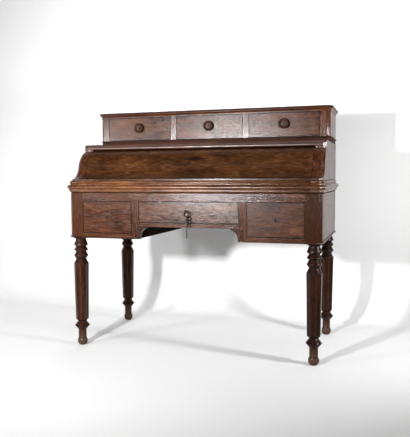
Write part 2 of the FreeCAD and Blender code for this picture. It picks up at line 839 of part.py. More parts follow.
# Writing slide and cylinder
export("slide_board", [slide_board])
export("slide_front", [slide_front])
export("slide_leather", [leather])
export("cylinder_front", [panel])
export("cylinder_quadrants", pair(quadrant))
export("cylinder_pivots", pair(pivot_pin))
export("cylinder_lock", [panel_lock])

# Drawers of the upper stage, each with its knob
side_opening = (centre_half + gradin_divider, gradin_inner)
gradin_openings = {
    "left": (-side_opening[1], -side_opening[0]),
    "centre": (-centre_half, centre_half),
    "right": side_opening,
}
knob_z = (gradin_floor + gradin_roof) / 2 + knob_rise
for place, x in gradin_openings.items():
    front, boards = drawer(x, gradin_z, gradin_front, back_front - gradin_rear_room, 3)
    middle = (x[0] + x[1]) / 2
    front = front.cut(spigot_hole(middle, gradin_front, knob_z))
    export("upper_drawer_" + place + "_front", [front, knob(middle, gradin_front, knob_z)])
    export("upper_drawer_" + place + "_box", boards)

# Drawers of the base, each with its lock
base_openings = {
    "left": ((-post_inner, -stile_outer), side_drawer_bottom, side_key_z, 4),
    "centre": ((-stile_inner, stile_inner), centre_drawer_bottom, centre_key_z, 3),
    "right": ((stile_outer, post_inner), side_drawer_bottom, side_key_z, 4),
}
for place, (x, bottom, lock_z, count) in base_openings.items():
    front, boards = drawer(x, (bottom, drawer_top), 0, back_front - base_rear_room, count)
    middle = (x[0] + x[1]) / 2
    recess, case = lock_case(middle, lock_z, drawer_back, drawer_top - drawer_gap)
    front = front.cut(recess).cut(keyhole(middle, 0, lock_z, drawer_back))
    if place == "centre":
        case = case.cut(bolt_channel)
    export("base_drawer_" + place + "_front", [front])
    export("base_drawer_" + place + "_box", boards)
    export("base_drawer_" + place + "_lock", [case])

# Little drawers of the fitment
for place, bay in drawer_bays.items():
    opening = (fitment_floor, fitment_drawer_top)
    front, boards = drawer(bay, opening, fitment_front, back_front - fitment_rear_room, 2,
                           small_front_thick, small_box_side, small_tail_lap)
    middle = (bay[0] + bay[1]) / 2
    middle_z = (opening[0] + opening[1]) / 2
    export("fitment_drawer_" + place, [front] + boards + [small_knob(middle, fitment_front, middle_z)])

# Keys and the bolt of the centre lock
export("lock_bolt", [lock_bolt])
export("lock_key", [lock_key])
export("ring_and_long_key", [key_ring, long_key])
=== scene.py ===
import bmesh
import bpy
import math
from mathutils import Matrix, Vector


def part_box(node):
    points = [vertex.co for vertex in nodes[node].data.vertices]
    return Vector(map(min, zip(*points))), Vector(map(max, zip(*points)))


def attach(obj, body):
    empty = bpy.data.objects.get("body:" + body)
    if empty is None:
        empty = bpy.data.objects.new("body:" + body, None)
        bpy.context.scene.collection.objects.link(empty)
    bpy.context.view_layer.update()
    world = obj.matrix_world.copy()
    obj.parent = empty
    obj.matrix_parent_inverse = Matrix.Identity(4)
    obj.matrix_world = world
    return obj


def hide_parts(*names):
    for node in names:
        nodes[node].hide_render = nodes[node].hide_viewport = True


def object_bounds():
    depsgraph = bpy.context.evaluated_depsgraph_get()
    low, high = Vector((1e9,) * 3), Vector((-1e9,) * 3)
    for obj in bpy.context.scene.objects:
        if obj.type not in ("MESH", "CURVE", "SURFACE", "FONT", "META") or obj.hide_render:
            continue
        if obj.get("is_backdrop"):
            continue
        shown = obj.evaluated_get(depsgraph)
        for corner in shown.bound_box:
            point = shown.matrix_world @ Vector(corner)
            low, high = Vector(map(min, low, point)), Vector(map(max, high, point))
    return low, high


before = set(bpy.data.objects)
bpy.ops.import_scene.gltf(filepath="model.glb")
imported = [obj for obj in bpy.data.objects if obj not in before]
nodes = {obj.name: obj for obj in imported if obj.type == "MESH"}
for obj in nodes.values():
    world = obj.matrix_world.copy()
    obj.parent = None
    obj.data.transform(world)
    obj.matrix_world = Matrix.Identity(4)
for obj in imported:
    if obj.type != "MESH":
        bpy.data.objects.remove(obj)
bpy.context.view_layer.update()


# Legs: solid mahogany, turned on a lathe and then planed to eight flats, each in one piece with the corner
# post of the base case. They are darker than the veneered case, the edges of the flats are rubbed and carry a
# painted highlight, the turned hollows and the creases of the foot carry painted shade, the legs on the right
# are painted darker as painted shade, and brooms and shoes have worn the ball feet pale.
class Wire:
    """One output of a shader node. Arithmetic on it adds Math nodes to the same finish."""

    def __init__(self, finish, socket):
        self.finish = finish
        self.socket = socket

    def maths(self, operation, first, second):
        return self.finish.node("ShaderNodeMath", {"operation": operation}, {0: first, 1: second})

    def __add__(self, other):
        return self.maths("ADD", self, other)

    def __sub__(self, other):
        return self.maths("SUBTRACT", self, other)

    def __rsub__(self, other):
        return self.maths("SUBTRACT", other, self)

    def __mul__(self, other):
        return self.maths("MULTIPLY", self, other)

    def __truediv__(self, other):
        return self.maths("DIVIDE", self, other)

    def __abs__(self):
        return self.maths("ABSOLUTE", self, 0.0)

    __radd__ = __add__
    __rmul__ = __mul__


class Finish:
    """A material in the making: its nodes, and the shader that they end in."""

    def __init__(self, name):
        self.material = bpy.data.materials.new(name)
        self.material.use_nodes = True
        self.tree = self.material.node_tree
        self.shader = self.tree.nodes["Principled BSDF"]

    def feed(self, socket, value):
        if isinstance(value, Wire):
            self.tree.links.new(value.socket, socket)
        else:
            socket.default_value = value

    def node(self, kind, settings, inputs, output=0):
        made = self.tree.nodes.new(kind)
        for name, value in settings.items():
            if name == "stops":
                for i, (place, colour) in enumerate(value):
                    stop = made.color_ramp.elements[i] if i < 2 else made.color_ramp.elements.new(place)
                    stop.position = place
                    stop.color = (*colour, 1)
            else:
                setattr(made, name, value)
        for name, value in inputs.items():
            self.feed(made.inputs[name], value)
        return Wire(self, made.outputs[output])

    def mix(self, share, first, second):
        """Colour between two colours; a plain colour is three numbers."""
        ends = [value if isinstance(value, Wire) else (*value, 1) for value in (first, second)]
        return self.node("ShaderNodeMix", {"data_type": "RGBA"}, {"Factor": share, 6: ends[0], 7: ends[1]}, 2)

    def ramp(self, share, *stops):
        """Colour read off a row of (place, colour) stops."""
        return self.node("ShaderNodeValToRGB", {"stops": stops}, {"Fac": share})

    def span(self, value, low, high, to_low=0.0, to_high=1.0):
        """The value stretched from one range to another and kept inside it."""
        inputs = {"Value": value, "From Min": low, "From Max": high, "To Min": to_low, "To Max": to_high}
        return self.node("ShaderNodeMapRange", {"clamp": True}, inputs)

    def place(self, shift=(0, 0, 0), scale=(1, 1, 1)):
        """Object coordinates, moved and stretched."""
        spot = self.node("ShaderNodeTexCoord", {}, {}, "Object")
        return self.node("ShaderNodeMapping", {}, {"Vector": spot, "Location": shift, "Scale": scale})

    def along(self, axis):
        """One object coordinate, in metres."""
        return self.node("ShaderNodeSeparateXYZ", {}, {"Vector": self.place()}, axis)

    def noise(self, place, scale, detail, distortion=0.0):
        inputs = {"Vector": place, "Scale": scale, "Detail": detail, "Distortion": distortion}
        return self.node("ShaderNodeTexNoise", {}, inputs)

    def bump(self, height, distance, strength):
        return self.node("ShaderNodeBump", {}, {"Height": height, "Distance": distance, "Strength": strength})

    def finish(self, inputs):
        """Set the shader's own sockets and give the material."""
        for name, value in inputs.items():
            self.feed(self.shader.inputs[name], value)
        return self.material


def wood(name, grain, shift, tones, figure=0.5, blotch=0.3, dull=0.14, relief=0.8, curl=9.0, busy=5.5,
         shine=0.17, marks=None):
    """Polished wood with its grain along an axis. Tones run from the darkest streak to the lightest.

    Shift picks a place in the pattern, figure is the share of flames in the tone, blotch how dark the stains
    are and dull how rough the polish is. Curl is how much longer a flame is along the grain than across it,
    busy how many of them a metre holds, relief how open the pores are and shine how thick the polish is.
    Marks are a function that adds stains, wear, painted shade and painted highlights: it gives a colour and
    how much duller the polish is there.
    """
    paint = Finish(name)

    def stretched(across):
        return paint.place(shift, [1.0 if axis == grain else across for axis in "xyz"])

    flame = paint.noise(stretched(curl), scale=busy, detail=4.0, distortion=1.4)
    streak = paint.noise(stretched(9.0), scale=31.0, detail=5.0, distortion=0.3)
    cloud = paint.noise(stretched(2.0), scale=5.0, detail=3.0)
    stain = paint.noise(stretched(3.5), scale=8.0, detail=4.0, distortion=0.8)
    fleck = paint.noise(stretched(4.0), scale=55.0, detail=3.0)
    ridge = paint.noise(stretched(34.0), scale=38.0, detail=2.0)
    pores = paint.span(ridge, 0.6, 0.7)
    thin_polish = paint.span(streak, 0.45, 0.65)
    tone = flame * figure + streak * (0.75 - figure) + cloud * 0.25
    colour = paint.ramp(paint.span(tone, 0.3, 0.7), *zip((0.0, 0.36, 0.66, 1.0), tones))
    colour = paint.mix(paint.span(stain, 0.55, 0.7) * blotch, colour, tones[0])
    colour = paint.mix(pores * 0.45, colour, tones[0])
    worn = 0.0
    if marks:
        colour, worn = marks(paint, colour, streak)
    return paint.finish({
        "Base Color": colour,
        "Roughness": dull + fleck * 0.08 + pores * 0.3 + thin_polish * 0.16 + worn,
        "Specular IOR Level": shine,
        "Normal": paint.bump(ridge + streak * 0.25, 0.00033, relief),
    })


def dress(material, *names):
    """Give CAD nodes a finish."""
    for name in names:
        nodes[name].data.materials.clear()
        nodes[name].data.materials.append(material)


def ease(width, *names):
    """Take the sharpness off the edges of CAD nodes, as a plane and sandpaper do."""
    for name in names:
        weld = nodes[name].modifiers.new("weld", "WELD")
        weld.merge_threshold = 0.00001
        bevel = nodes[name].modifiers.new("ease", "BEVEL")
        bevel.width = width
        bevel.segments = 2
        bevel.limit_method = "ANGLE"
        bevel.angle_limit = math.radians(35)
        bevel.harden_normals = True


mahogany = ((0.007, 0.002, 0.0008), (0.025, 0.0071, 0.0024), (0.049, 0.0153, 0.005), (0.083, 0.029, 0.01))
leg_tones = ((0.0042, 0.0015, 0.0008), (0.0131, 0.0045, 0.0022), (0.028, 0.01, 0.0049),
             (0.052, 0.0205, 0.0095))
bare_wood = (0.085, 0.048, 0.03)
rubbed_and_highlit_wood = (0.075, 0.03, 0.016)
leg_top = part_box("pedestal_stiles")[0][2]
flats_low, flats_high = 0.133, 0.402
half_flat = math.pi / 8
bare_top, bare_foot = 0.115, 0.06
foot_creases = (0.036, 0.1)
hollow_rim, hollow_floor = 0.0335, 0.026


def middle(values):
    """Half way between the least and the greatest of some values."""
    return (min(values) + max(values)) / 2


foot_points = [vertex.co for vertex in nodes["legs"].data.vertices if vertex.co.z < 0.001]
leg_x = middle([abs(point.x) for point in foot_points])
legs_y = middle([point.y for point in foot_points])
leg_y = middle([abs(point.y - legs_y) for point in foot_points])


def post_and_foot(paint, colour, streak):
    """Painted shade in the turned hollows and the creases of the foot, edges between the flats rubbed paler
    and painted as highlights, and a bare ball foot.

    The legs on the right are painted darker, as painted shade, and the posts take the colour of the case.
    """
    height = paint.along("Z")

    def between(low, high, fade):
        return paint.span(height, low, low + fade) * paint.span(height, high, high - fade)

    out = abs(paint.along("X")) - leg_x
    back = abs(paint.along("Y") - legs_y) - leg_y
    turn = paint.node("ShaderNodeMath", {"operation": "ARCTAN2"}, {0: back, 1: out}) + math.pi
    swing = paint.node("ShaderNodeMath", {"operation": "PINGPONG"}, {0: turn, 1: half_flat})
    shaft = between(flats_low, flats_high, 0.004)
    # Painted highlight and wear: the arrises between the flats are painted paler, for rubbing and for the
    # light they catch.
    edge = paint.span(swing + streak * 0.05, half_flat - 0.04, half_flat) * shaft
    colour = paint.mix(edge * 0.6, colour, rubbed_and_highlit_wood)
    colour = paint.mix(paint.span(height, leg_top - 0.001, leg_top + 0.001) * 0.5, colour, mahogany[2])
    # Painted shade: the legs on the right, away from the key lamp, are painted darker.
    colour = paint.mix(paint.span(paint.along("X"), 0.0, 0.1) * 0.45, colour, leg_tones[0])
    bare = paint.span(height + streak * 0.05, bare_top, bare_foot) * 0.5
    colour = paint.mix(bare, colour, bare_wood)
    radius = paint.node("ShaderNodeMath", {"operation": "SQRT"}, {0: out * out + back * back})
    turned = between(flats_high, leg_top, 0.002)
    # Painted shade in the hollows between the turned rings and in the two creases of the foot.
    hollow_shade = turned * paint.span(radius, hollow_rim, hollow_floor)
    crease_shade = sum(paint.span(abs(height - place), 0.006, 0.001) for place in foot_creases)
    return paint.mix(hollow_shade * 0.5 + crease_shade * 0.6, colour, leg_tones[0]), bare * 0.1 + turned * 0.08


leg_mahogany = wood("leg_mahogany", "z", (0.3, 0.1, 0.0), leg_tones, figure=0.4, blotch=0.2, shine=0.09,
                    marks=post_and_foot)
dress(leg_mahogany, "legs")
ease(0.0005, "legs")

# Base case: mahogany veneer on a softwood carcass. The sides, rails and stiles frame three drawers,
# and a hollow bracket closes each upper corner of the kneehole.
dress(wood("side_veneer", "y", (0.2, 0.7, 0.4), mahogany), "base_sides")
chips = ((0.179, 0.753, 0.013, 0.0035), (0.297, 0.733, 0.004, 0.003), (0.313, 0.733, 0.004, 0.003))


def chipped(paint, colour, streak):
    """Three places where the veneer of the frieze has lost a chip: middle, half length and half height."""
    worn = 0.0
    for x, z, half_long, half_high in chips:
        off = abs(paint.along("X") - x) / half_long + abs(paint.along("Z") - z) / half_high
        lost = paint.span(off + streak * 0.5, 1.4, 1.1)
        colour = paint.mix(lost * 0.95, colour, leg_tones[0])
        worn = lost * 0.15 + worn
    return colour, worn


frieze_veneer = wood("frieze_veneer", "x", (1.2, 0.3, 0.9), mahogany, dull=0.11, shine=0.19, marks=chipped)
dress(frieze_veneer, "frieze_rail")
dress(wood("rail_veneer", "x", (0.7, 0.3, 0.9), mahogany), "front_rails")
dress(wood("bracket_wood", "x", (0.5, 0.3, 0.9), leg_tones, shine=0.1), "knee_brackets")
bracket_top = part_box("knee_brackets")[1][2]
knee_half = min(abs(vertex.co.x) for vertex in nodes["pedestal_stiles"].data.vertices)
joint_in = 0.0165


def joint_and_shade_beside_bracket(paint, colour, streak):
    """A dark joint runs up the foot of each stile, and the strip between it and the bracket is painted
    darker, as painted shade.
    """
    across = abs(paint.along("X")) - knee_half
    foot = paint.span(paint.along("Z"), bracket_top, bracket_top - 0.004)
    # Painted shade: the strip between the joint and the bracket is painted darker; the joint line is a dark
    # joint.
    strip = paint.span(across + streak * 0.002, joint_in + 0.0015, joint_in - 0.0005) * foot
    joint = paint.span(abs(across - joint_in), 0.0025, 0.001) * foot
    colour = paint.mix(strip * 0.6, colour, leg_tones[1])
    return paint.mix(joint * 0.9, colour, leg_tones[0]), 0.0


dress(wood("stile_veneer", "z", (0.8, 0.2, 0.1), mahogany, relief=0.9, marks=joint_and_shade_beside_bracket),
      "pedestal_stiles")
dress(wood("bead_wood", "x", (0.1, 0.2, 0.6), leg_tones), "base_bead")
ease(0.0006, "frieze_rail", "front_rails", "pedestal_stiles", "base_sides")


# Hidden boards of the case: planed softwood, brown with age and never polished. The back boards are painted
# lighter, as painted light, and the boards inside the case darker, as painted shade. They close the back,
# line the two drawer cases, and carry the drawers and the writing slide.
def shaded(tones, share):
    """The same tones, lighter or darker by a share."""
    return [[channel * share for channel in tone] for tone in tones]


softwood = ((0.007, 0.0038, 0.002), (0.0175, 0.0098, 0.005), (0.026, 0.015, 0.0077), (0.035, 0.021, 0.0112))
unpolished = {"figure": 0.3, "blotch": 0.2, "dull": 0.7}
# Back boards painted lighter, as painted light on the dim back; inner boards painted darker, as painted shade
# inside the case.
dress(wood("back_boards", "x", (0.4, 0.4, 0.3), shaded(softwood, 2.2), shine=0.06, **unpolished),
      "base_back", "desk_back", "gradin_back")
dress(wood("frame_boards", "y", (0.1, 0.5, 0.2), shaded(softwood, 0.5), shine=0.03, **unpolished),
      "pedestal_inner_sides", "dust_boards", "drawer_runners", "bed_board", "slide_guides")

# Waist: a moulding round the case. Its front, between two upright joints, is the front of the writing
# slide, and hands have rubbed it to a warmer colour.
warm = ((0.014, 0.004, 0.0012), (0.049, 0.0155, 0.0042), (0.092, 0.033, 0.0095), (0.148, 0.062, 0.02))
rubbed_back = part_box("waist_moulding")[0][1] + 0.03
warm_to, dark_from = 0.05, 0.5


def rubbed_ends(paint, colour, streak):
    """The two ends of the moulding in front are nearly as warm as the slide between them."""
    near = paint.span(paint.along("Y"), rubbed_back + 0.005, rubbed_back)
    return paint.mix(near * 0.7, colour, paint.mix(streak, warm[0], warm[2])), 0.0


dress(wood("waist_wood", "y", (0.9, 0.1, 0.5), mahogany, figure=0.4, marks=rubbed_ends), "waist_moulding")


def shaded_right_end(paint, colour, streak):
    """Towards its right end the slide's front is painted darker, as painted shade."""
    return paint.mix(paint.span(paint.along("X"), warm_to, dark_from) * 0.75, colour, warm[0]), 0.0


dress(wood("slide_front_wood", "x", (0.3, 0.4, 0.5), warm, figure=0.4, curl=5.0, marks=shaded_right_end),
      "slide_front")
ease(0.0004, "waist_moulding", "slide_front")

# Writing slide: a mahogany board with a panel of green leather let into its front part, tooled with
# two gilt lines.
dress(wood("slide_wood", "x", (0.5, 0.9, 0.2), mahogany, figure=0.4), "slide_board")
broad_line, narrow_line = 0.014, 0.019
green, worn_green = (0.018, 0.05, 0.028), (0.05, 0.09, 0.05)
gilding = (0.6, 0.38, 0.12)


def from_edge(paint, node, *axes):
    """How far a spot lies inside the nearest edge of a node's box, over two axes."""
    low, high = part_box(node)
    room = []
    for axis in axes:
        i = "XYZ".index(axis)
        room.append((high[i] - low[i]) / 2 - abs(paint.along(axis) - middle((low[i], high[i]))))
    return paint.node("ShaderNodeMath", {"operation": "MINIMUM"}, {0: room[0], 1: room[1]})


def writing_leather():
    """Grained leather with a broad and a narrow gilt line along its edge, scuffed in places."""
    paint = Finish("writing_leather")
    inset = from_edge(paint, "slide_leather", "X", "Y")
    broad = paint.span(abs(inset - broad_line), 0.0014, 0.001)
    narrow = paint.span(abs(inset - narrow_line), 0.0006, 0.0003)
    grain = paint.node("ShaderNodeTexVoronoi", {}, {"Vector": paint.place(), "Scale": 900.0})
    scuff = paint.noise(paint.place(), scale=9.0, detail=5.0)
    gilt = (broad + narrow) * paint.span(scuff, 0.35, 0.5)
    colour = paint.mix(paint.span(scuff, 0.45, 0.7), green, worn_green)
    return paint.finish({
        "Base Color": paint.mix(gilt, colour, gilding),
        "Metallic": gilt * 0.9,
        "Roughness": 0.5 + scuff * 0.2 - gilt * 0.2,
        "Normal": paint.bump(grain, 0.0003, 0.3),
    })


dress(writing_leather(), "slide_leather")

# Cheeks and cylinder front: solid cheeks, and between them a bent front with a strongly figured
# veneer, which two quadrants carry on iron pivots.
dress(wood("cheek_wood", "z", (0.6, 0.2, 0.8), shaded(mahogany, 0.8)), "cheeks")
figured = ((0.0055, 0.0018, 0.0006), (0.0185, 0.0062, 0.0018), (0.037, 0.013, 0.0037), (0.07, 0.0275, 0.008))
smear_x, smear_z = 0.01, 0.912
smear_half_long, smear_half_high = 0.05, 0.01


def handled(paint, colour, streak):
    """Hands and the key have darkened the veneer round the keyhole."""
    long = abs(paint.along("X") - smear_x) / smear_half_long
    high = abs(paint.along("Z") - smear_z) / smear_half_high
    near = paint.span(long + high + streak * 1.2, 1.9, 1.3)
    return paint.mix(near * 0.95, colour, leg_tones[0]), near * 0.1


cylinder_veneer = wood("cylinder_veneer", "x", (0.3, 0.6, 0.1), figured, blotch=0.4, dull=0.16, relief=0.5,
                       curl=3.0, busy=13.0, shine=0.1, marks=handled)
dress(cylinder_veneer, "cylinder_front")
quadrant_wood = wood("quadrant_wood", "z", (0.7, 0.1, 0.6), softwood, figure=0.3, blotch=0.2, dull=0.6)
dress(quadrant_wood, "cylinder_quadrants")
ease(0.002, "cheeks")


def dull_iron(name, bare, rusty):
    """Old iron, bare in places and rusty in others."""
    paint = Finish(name)
    patch = paint.noise(paint.place(), scale=90.0, detail=4.0)
    rust = paint.span(patch, 0.45, 0.65)
    return paint.finish({
        "Base Color": paint.mix(rust, bare, rusty),
        "Metallic": 0.9 - rust * 0.4,
        "Roughness": 0.3 + patch * 0.3,
        "Normal": paint.bump(patch, 0.0002, 0.4),
    })


iron = dull_iron("dull_iron", (0.035, 0.031, 0.027), (0.012, 0.009, 0.007))
dress(iron, "pivot_plates", "cylinder_pivots", "cylinder_lock")

# Shelf over the cylinder, and the upper stage that stands in it: boards with moulded edges, two
# stiles, two dividers and a canted cornice.
shelf_wood = wood("shelf_wood", "x", (0.1, 0.8, 0.6), mahogany, figure=0.4, dull=0.28, relief=0.35, shine=0.6)
dress(shelf_wood, "shelf")
dress(wood("cornice_wood", "x", (0.4, 0.1, 0.2), mahogany, figure=0.4, shine=0.12), "cornice_moulding")
# Painted shade: the plinth under the upper drawers is painted in the dark leg tones; the top board shares
# them.
dress(wood("dark_edge_and_shade", "x", (0.3, 0.2, 0.4), leg_tones, figure=0.4, dull=0.6, shine=0.07),
      "gradin_base", "top_board")
dress(wood("upper_stile_wood", "z", (0.4, 0.9, 0.3), mahogany, dull=0.08, relief=1.0, shine=0.22),
      "gradin_sides")
dress(wood("divider_wood", "z", (0.9, 0.4, 0.3), mahogany, relief=1.0, shine=0.3), "gradin_dividers")
ease(0.0006, "gradin_sides", "gradin_dividers")

# Fitment at the back of the desk: thin mahogany boards set up as pigeonholes, with two little drawers that
# slide between them. It has had little wear, and its polish is dull.
dress(wood("fitment_wood", "y", (0.2, 0.1, 0.7), mahogany, figure=0.4, blotch=0.2, dull=0.5), "pigeonholes")
dress(wood("little_drawer_wood", "x", (0.8, 0.5, 0.7), mahogany, dull=0.45),
      "fitment_drawer_left", "fitment_drawer_right")

# Drawers: veneered fronts painted darker along their edges, as painted shade of the gaps round them, pale
# boxes dovetailed into them, dark turned knobs above and iron locks below. A long stain runs down from the
# left keyhole.
box_tones = ((0.1, 0.055, 0.025), (0.2, 0.12, 0.06), (0.28, 0.175, 0.09), (0.36, 0.24, 0.13))
box_wood = wood("drawer_box_wood", "y", (0.9, 0.3, 0.2), box_tones, figure=0.3, blotch=0.2, dull=0.65)
knob_tone = (0.02, 0.0068, 0.0035)
face_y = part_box("gradin_dividers")[0][1]
stain_middle = (-0.355, 0.609)
stain_half_long, stain_half_wide = 0.042, 0.012
stain_slope = math.radians(-29)
sides = ("left", "centre", "right")
key_drops = (0.077, 0.045, 0.077)
base_dulls = (0.14, 0.14, 0.21)
base_shines = (0.15, 0.21, 0.13)
keyholes = {}
for side, key_drop in zip(sides, key_drops):
    node = "base_drawer_" + side + "_front"
    low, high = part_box(node)
    keyholes[node] = middle((low[0], high[0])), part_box("frieze_rail")[0][2] - key_drop


def front_stains_and_gap_shade(node):
    """Marks for one drawer front: painted shade along its edges, grime near its keyhole, a stain, and a
    nearly black knob.
    """

    def marks(paint, colour, streak):
        x, y, z = (paint.along(axis) for axis in "XYZ")
        # Painted shade along the edges of the front, where the gaps round it are.
        gap_shade = paint.span(from_edge(paint, node, "X", "Z") + streak * 0.002, 0.0065, 0.003)
        colour = paint.mix(gap_shade * 0.9, colour, mahogany[0])
        if node == "base_drawer_left_front":
            right, rise = x - stain_middle[0], z - stain_middle[1]
            long = abs(right * math.cos(stain_slope) + rise * math.sin(stain_slope)) / stain_half_long
            wide = abs(rise * math.cos(stain_slope) - right * math.sin(stain_slope)) / stain_half_wide
            stain = paint.span(long + wide + streak * 0.9, 1.6, 0.9)
            colour = paint.mix(stain * 0.75, colour, mahogany[0])
        if node.startswith("base"):
            hole_x, hole_z = keyholes[node]
            round_hole = abs(x - hole_x) + abs(z - hole_z)
            smear = paint.span(round_hole + streak * 0.008, 0.02, 0.011)
            return paint.mix(smear * 0.85, colour, mahogany[0]), smear * 0.1
        knob = paint.span(y, face_y - 0.0004, face_y - 0.0006)
        return paint.mix(knob * 0.95, colour, knob_tone), knob * 0.12

    return marks


for i, side in enumerate(sides):
    upper = "upper_drawer_" + side
    base = "base_drawer_" + side
    for node, shift, figure, blotch, dull, shine in (
        (upper + "_front", (0.37 * i, 0.6, 0.2 + 0.41 * i), 0.45, 0.3, 0.14, 0.125),
        (base + "_front", (0.53 * i, 0.9, 0.7 + 0.33 * i), 0.5, 0.5, base_dulls[i], base_shines[i]),
    ):
        veneer = wood(node, "x", shift, mahogany, figure, blotch, dull, curl=5.0, shine=shine,
                      marks=front_stains_and_gap_shade(node))
        dress(veneer, node)
        ease(0.0006, node)
    dress(box_wood, upper + "_box", base + "_box")
    dress(iron, base + "_lock")


# Turned detail of the knobs: a bead in the dish and a rounded boss, cut on the lathe from the same dark
# wood as the knob.
def lathe(shape, centre, axis, *profile):
    """Spin an outline of (radius, reach) points about an axis."""
    axis = Vector(axis)
    out = axis.orthogonal().normalized()
    line = [shape.verts.new(Vector(centre) + out * radius + axis * reach) for radius, reach in profile]
    edges = [shape.edges.new(ends) for ends in zip(line, line[1:])]
    bmesh.ops.spin(shape, geom=line + edges, cent=centre, axis=axis, angle=2 * math.pi, steps=24,
                   use_merge=True)


def wire_ring(shape, centre, axis, radius, wire, turns=1, rise=0.0):
    """Bend a round wire about an axis; more than one turn climbs along it."""
    axis = Vector(axis)
    out = axis.orthogonal().normalized()
    steps = 36 * turns
    disc = bmesh.ops.create_circle(shape, cap_ends=turns > 1, segments=10, radius=wire)["verts"]
    turned = Matrix((out, axis, out.cross(axis))).transposed().to_4x4()
    bmesh.ops.transform(shape, matrix=Matrix.Translation(Vector(centre) + out * radius) @ turned, verts=disc)
    edges = [edge for edge in shape.edges if all(end in disc for end in edge.verts)]
    faces = [face for face in shape.faces if all(corner in disc for corner in face.verts)]
    bmesh.ops.spin(shape, geom=disc + edges + faces, cent=centre, axis=axis, dvec=axis * (rise / steps),
                   angle=2 * math.pi * turns, steps=steps, use_merge=turns == 1)


def as_object(shape, name, material):
    """Turn a bmesh into an object of one material."""
    mesh = bpy.data.meshes.new(name)
    shape.to_mesh(mesh)
    shape.free()
    mesh.materials.append(material)
    mesh.shade_smooth()
    made = bpy.data.objects.new(name, mesh)
    bpy.context.collection.objects.link(made)
    return made


def settle(shape, name, material, body):
    """Close a bmesh into an object that moves with a CAD body."""
    bmesh.ops.remove_doubles(shape, verts=shape.verts, dist=0.00001)
    bmesh.ops.recalc_face_normals(shape, faces=shape.faces)
    made = as_object(shape, name, material)
    made.data.set_sharp_from_angle(angle=math.radians(35))
    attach(made, body)
    return made


knob_tones = [[channel * share for channel in knob_tone] for share in (0.5, 0.8, 1.2, 2.2)]
knob_wood = wood("knob_wood", "y", (0.2, 0.2, 0.2), knob_tones, dull=0.34)
bead_radius, bead_wire, bead_reach = 0.0125, 0.0014, 0.0165
boss_profile = ((0.0, 0.0195), (0.0066, 0.0195), (0.0066, 0.0206), (0.0055, 0.0216), (0.003, 0.0222),
                (0.0, 0.0224))
for side in sides:
    drawer = nodes["upper_drawer_" + side + "_front"].data
    knob_points = [vertex.co for vertex in drawer.vertices if vertex.co.y < face_y - 0.001]
    knob_x = middle([point.x for point in knob_points])
    knob_z = middle([point.z for point in knob_points])
    turning = bmesh.new()
    wire_ring(turning, (knob_x, face_y - bead_reach, knob_z), (0, -1, 0), bead_radius, bead_wire)
    lathe(turning, (knob_x, face_y, knob_z), (0, -1, 0), *boss_profile)
    settle(turning, "knob_turning_" + side, knob_wood, "upper_drawer_" + side)


# Keyhole liners: thin iron strips, bent to the outline of the keyhole and driven into the fronts of the base
# drawers until they stand only a little proud. They have gone black.
def move_new(shape, extruded, way):
    """Move the points that an extrusion has made."""
    points = [item for item in extruded["geom"] if isinstance(item, bmesh.types.BMVert)]
    bmesh.ops.translate(shape, verts=points, vec=way)


front_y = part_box("base_drawer_centre_front")[0][1]
black_iron = dull_iron("black_iron", (0.004, 0.0034, 0.003), (0.003, 0.002, 0.0016))
liner_radius, liner_wall, liner_proud, liner_thick = 0.0036, 0.0008, 0.0003, 0.0012
slot_half, slot_drop = 0.0026, 0.0102
upright = Matrix.Rotation(math.pi / 2, 4, "X")
for side in sides:
    hole_x, hole_z = keyholes["base_drawer_" + side + "_front"]
    keyhole = Vector((hole_x, front_y - liner_proud, hole_z))
    strip = bmesh.new()
    ring = bmesh.ops.create_circle(strip, cap_ends=True, segments=18, radius=liner_radius)["verts"]
    for vertex in sorted(ring, key=lambda vertex: vertex.co.y)[:2]:
        vertex.co = (math.copysign(slot_half, vertex.co.x), -slot_drop, 0)
    hole = strip.faces[:][0]
    strip.normal_update()
    bmesh.ops.inset_region(strip, faces=[hole], thickness=liner_wall, use_boundary=True, use_even_offset=True)
    bmesh.ops.delete(strip, geom=[hole], context="FACES_ONLY")
    bmesh.ops.transform(strip, matrix=Matrix.Translation(keyhole) @ upright, verts=strip.verts)
    move_new(strip, bmesh.ops.extrude_face_region(strip, geom=strip.faces[:]), (0, liner_thick, 0))
    settle(strip, "keyhole_liner_" + side, black_iron, "base_drawer_" + side)


# Keys: forged steel, filed and worn dark. One is in the centre lock, and a split ring of two turns of wire
# hangs over its stem with a longer key on it.
def cut_plate(shape, points, thick):
    """Flat piece sawn from sheet to an outline of points."""
    face = shape.faces.new([shape.verts.new(point) for point in points])
    move_new(shape, bmesh.ops.extrude_face_region(shape, geom=[face]), thick)


low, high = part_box("lock_key")
bow_radius, bow_wire, bow_reach = 0.0067, 0.0016, 0.0085
bit_half = 0.0015
key_middle = Vector((0, low[1] + bow_reach, high[2] - bow_reach))
key = bmesh.new()
wire_ring(key, key_middle, (1, 0, 0), bow_radius, bow_wire)
lathe(key, key_middle, (0, 1, 0),
      (0, 0.0066), (0.0021, 0.0066), (0.0021, 0.0082), (0.0034, 0.0086), (0.0034, 0.0098), (0.0024, 0.0102),
      (0.0024, 0.0205), (0.0032, 0.0209), (0.0032, 0.0218), (0.0024, 0.022), (0.0024, 0.0395), (0, 0.0395))
teeth = ((0.0315, 0), (0.0315, -0.0088), (0.0335, -0.0088), (0.0335, -0.005), (0.0345, -0.005),
         (0.0345, -0.0088), (0.0365, -0.0088), (0.0365, -0.005), (0.0375, -0.005), (0.0375, -0.0088),
         (0.039, -0.0088), (0.039, 0))
cut_plate(key, [key_middle + Vector((-bit_half, back, rise)) for back, rise in teeth], (2 * bit_half, 0, 0))
lock_key = settle(key, "steel_key", iron, "key")
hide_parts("lock_key")

